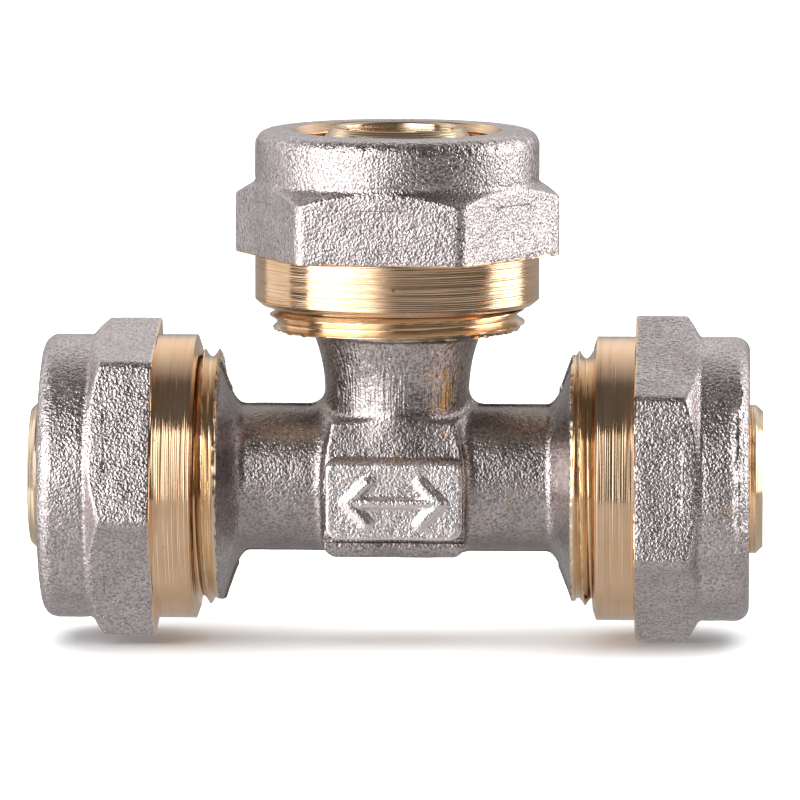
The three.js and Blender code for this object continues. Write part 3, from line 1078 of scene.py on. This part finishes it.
def brass_material(name, across, tints):
    """Bright turned brass: fine lines round the arm that spread its highlights along the arm."""
    n = Nodes(name)
    fine = n.noise(n.stretched(tuple(8000 if a else 25 for a in across)), 1.0, detail=1.5)
    broad = n.noise(n.stretched(tuple(1700 if a else 60 for a in across)), 1.0, detail=2.0)
    tarnish = n.noise(n.place, 170, detail=4.0, roughness=0.6)
    pits = n.ramp(n.noise(n.place, 900, detail=2.0), 0.74, 0.78, 0.0, 0.6)
    base = n.mix(n.ramp(tarnish, 0.35, 0.65), tints[0], tints[1])
    lined = n.mix(n.ramp(broad, 0.30, 0.50, 0.4, 0.0), base, (0.62, 0.39, 0.19))
    n.set(Base_Color=n.mix(pits, lined, (0.25, 0.15, 0.07)))
    n.set(Metallic=1.0, Roughness=n.ramp(broad, 0.3, 0.7, 0.1, 0.2))
    bands = n.bump(broad, 0.00006)
    n.set(Normal=n.bump(fine, 0.00006, normal=bands))
    return n.material


def rubber_material():
    """Matt black rubber with a little dust."""
    n = Nodes("o_ring_rubber")
    grain = n.noise(n.place, 3000, detail=3.0)
    dust = n.noise(n.place, 400, detail=4.0)
    n.set(Base_Color=n.mix(n.ramp(dust, 0.5, 0.8, 0.0, 0.4), (0.012, 0.012, 0.013), (0.05, 0.048, 0.045)))
    n.set(Roughness=n.ramp(grain, 0.3, 0.7, 0.4, 0.6))
    n.set(Normal=n.bump(grain, 0.00001))
    return n.material


def polymer_material():
    """Off-white plastic."""
    n = Nodes("washer_polymer")
    cloud = n.noise(n.place, 250, detail=3.0)
    n.set(Base_Color=n.mix(cloud, (0.82, 0.81, 0.77), (0.9, 0.89, 0.86)))
    n.set(Roughness=n.ramp(cloud, 0.3, 0.7, 0.38, 0.5))
    n.set(Normal=n.bump(n.noise(n.place, 2500), 0.000006))
    return n.material


def floor_material():
    """Matt pale grey."""
    n = Nodes("studio_floor")
    cloud = n.noise(n.place, 3.0, detail=2.0)
    n.set(Base_Color=n.mix(cloud, (0.86, 0.86, 0.86), (0.88, 0.88, 0.88)))
    n.set(Roughness=0.8)
    n.shader.inputs["Specular IOR Level"].default_value = 0.1
    return n.material


# ---- Studio ----

CAMERA_DISTANCE = 0.95
CAMERA_AZIMUTH = 2.3
CAMERA_ELEVATION = 6.7
CAMERA_ROLL = 0.05
CAMERA_LENS = 406.0
AIM_ABOVE_AXIS = 8.1 * MM
AIM_ASIDE = 0.3 * MM
SENSOR_WIDTH = 36
CLIP_END = 20
FLOOR_RADIUS = 2500
FLOOR_COLUMNS = 64
# Soft lights: name, azimuth, elevation, distance, (width, height), brightness
SOFTBOXES = (
    ("key_left", -52, 16, 0.55, (0.45, 0.56), 3.4),
    ("edge_left", -22, 15, 0.55, (0.13, 0.56), 2.2),
    ("front_left", -10, 15, 0.55, (0.09, 0.5), 0.5),
    ("fill_left", -112, 12, 0.9, (0.6, 0.8), 0.7),
    ("rim_right", 103, 14, 0.9, (0.6, 0.8), 2.8),
)
OVERHEAD = ("floor_wash", 0, 90, 1.7, (3.4, 3.4), 3.0)


def direction(azimuth, elevation):
    """Unit vector from the object towards a studio place: azimuth 0 is the front, 90 the right."""
    a, e = math.radians(azimuth), math.radians(elevation)
    return Vector((math.sin(a) * math.cos(e), -math.cos(a) * math.cos(e), math.sin(e)))


def build_camera():
    """A long lens, slightly above and to the right, aimed above the run's axis."""
    camera = bpy.data.objects.new("camera", bpy.data.cameras.new("camera"))
    bpy.context.scene.collection.objects.link(camera)
    back = direction(CAMERA_AZIMUTH, CAMERA_ELEVATION)
    turn = back.to_track_quat("Z", "Y")
    up = turn @ Vector((0, 1, 0))
    right = turn @ Vector((1, 0, 0))
    aim = Vector((0, 0, AXIS_HEIGHT * MM)) + up * AIM_ABOVE_AXIS + right * AIM_ASIDE
    camera.location = aim + back * CAMERA_DISTANCE
    camera.rotation_mode = "QUATERNION"
    roll = Matrix.Rotation(math.radians(CAMERA_ROLL), 3, back).to_quaternion()
    camera.rotation_quaternion = roll @ turn
    camera.data.lens = CAMERA_LENS
    camera.data.sensor_width = SENSOR_WIDTH
    camera.data.clip_end = CLIP_END
    bpy.context.scene.camera = camera


def add_softbox(name, azimuth, elevation, distance, size, strength):
    """A rectangular soft light facing the object; strength is its brightness when looked at."""
    light = bpy.data.lights.new(name, "AREA")
    light.shape = "RECTANGLE"
    light.size, light.size_y = size
    light.energy = strength * size[0] * size[1] * math.pi
    obj = bpy.data.objects.new(name, light)
    bpy.context.scene.collection.objects.link(obj)
    away = direction(azimuth, elevation)
    obj.location = Vector((0, 0, AXIS_HEIGHT * MM)) + away * distance
    obj.rotation_mode = "QUATERNION"
    obj.rotation_quaternion = away.to_track_quat("Z", "Y")
    obj.visible_camera = False
    return obj


def build_world():
    """Soft surroundings: dim in front, a backdrop behind that is brighter higher up, a table below."""
    world = bpy.data.worlds.new("studio")
    world.use_nodes = True
    tree = world.node_tree
    background = tree.nodes["Background"]
    background.inputs["Color"].default_value = (1, 0.99, 0.985, 1)
    split = tree.nodes.new("ShaderNodeSeparateXYZ")
    tree.links.new(tree.nodes.new("ShaderNodeTexCoord").outputs["Generated"], split.inputs[0])

    def fade(value, low, high, to_low, to_high):
        node = tree.nodes.new("ShaderNodeMapRange")
        tree.links.new(value, node.inputs["Value"])
        for key, number in (("From Min", low), ("From Max", high), ("To Min", to_low), ("To Max", to_high)):
            node.inputs[key].default_value = number
        return node.outputs["Result"]

    def mix(factor, a, b):
        node = tree.nodes.new("ShaderNodeMix")
        for value, key in ((factor, "Factor"), (a, "A"), (b, "B")):
            if isinstance(value, float):
                node.inputs[key].default_value = value
            else:
                tree.links.new(value, node.inputs[key])
        return node.outputs["Result"]

    backdrop = fade(split.outputs["Y"], 0.0, 0.75, 0.1, 1.0)
    low = fade(split.outputs["Y"], 0.0, 0.75, 0.1, 0.36)
    surroundings = mix(fade(split.outputs["Z"], 0.1, 0.5, 0.0, 1.0), low, backdrop)
    table_in_front = fade(split.outputs["X"], -0.65, -0.35, 1.4, 0.52)
    table = mix(fade(split.outputs["Y"], 0.0, 0.4, 0.0, 1.0), table_in_front, 0.44)
    below = fade(split.outputs["Z"], -0.23, -0.19, 1.0, 0.0)
    tree.links.new(mix(below, surroundings, table), background.inputs["Strength"])
    bpy.context.scene.world = world


def build_floor(material):
    """A wide disc that the fitting stands on, not seen in its reflections."""
    columns = FLOOR_COLUMNS
    angles = np.arange(columns) / columns * math.tau
    rim = [(FLOOR_RADIUS * math.cos(a), FLOOR_RADIUS * math.sin(a), 0) for a in angles]
    vertices = [(0, 0, 0)] + rim
    mesh = bpy.data.meshes.new("floor")
    faces = [(0, i + 1, (i + 1) % columns + 1) for i in range(columns)]
    mesh.from_pydata((np.array(vertices) * MM).tolist(), [], faces)
    mesh.materials.append(material)
    floor = bpy.data.objects.new("floor", mesh)
    bpy.context.scene.collection.objects.link(floor)
    floor.visible_glossy = False


def build_studio():
    """Surroundings, floor, camera and lights."""
    build_world()
    build_floor(floor_material())
    build_camera()
    for softbox in SOFTBOXES:
        add_softbox(*softbox)
    overhead = add_softbox(*OVERHEAD)
    overhead.visible_glossy = False
    scene = bpy.context.scene
    scene.view_settings.view_transform = "Standard"
    scene.view_settings.look = "None"


# ---- Assembly ----

def finish_piece(piece, body, node):
    """Rides a piece on its body, in place of its CAD node."""
    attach(piece, body)
    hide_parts(node)


def build_fitting():
    """Every piece of the fitting, each on its own body."""
    nickel = nickel_material()
    run_brass = brass_material("turned_brass_run", (True, False, False), WARM_BRASS)
    branch_brass = brass_material("turned_brass_branch", (False, False, True), WARM_BRASS)
    run_thread = brass_material("thread_brass_run", (True, False, False), PALE_BRASS)
    branch_thread = brass_material("thread_brass_branch", (False, False, True), PALE_BRASS)
    rubber = rubber_material()
    polymer = polymer_material()
    finish_piece(build_forging(forged_material(), run_brass), "tee", "tee_body")
    for name, arm in ARMS.items():
        brass, thread = (branch_brass, branch_thread) if name == "branch" else (run_brass, run_thread)
        finish_piece(build_turned_end(name, arm, thread), "tee", "tee_body")
        finish_piece(build_nut(name, arm, nickel, brass), f"{name}_nut", f"{name}_nut")
        ring = build_split_ring(name, arm, brass)
        finish_piece(ring, f"{name}_ring", f"{name}_split_ring")
        for side in ("inner", "outer"):
            o_ring = build_o_ring(name, side, arm, rubber)
            finish_piece(o_ring, "tee", f"{name}_o_ring_{side}")
        finish_piece(build_washer(name, arm, polymer), "tee", f"{name}_washer")


build_fitting()
build_studio()
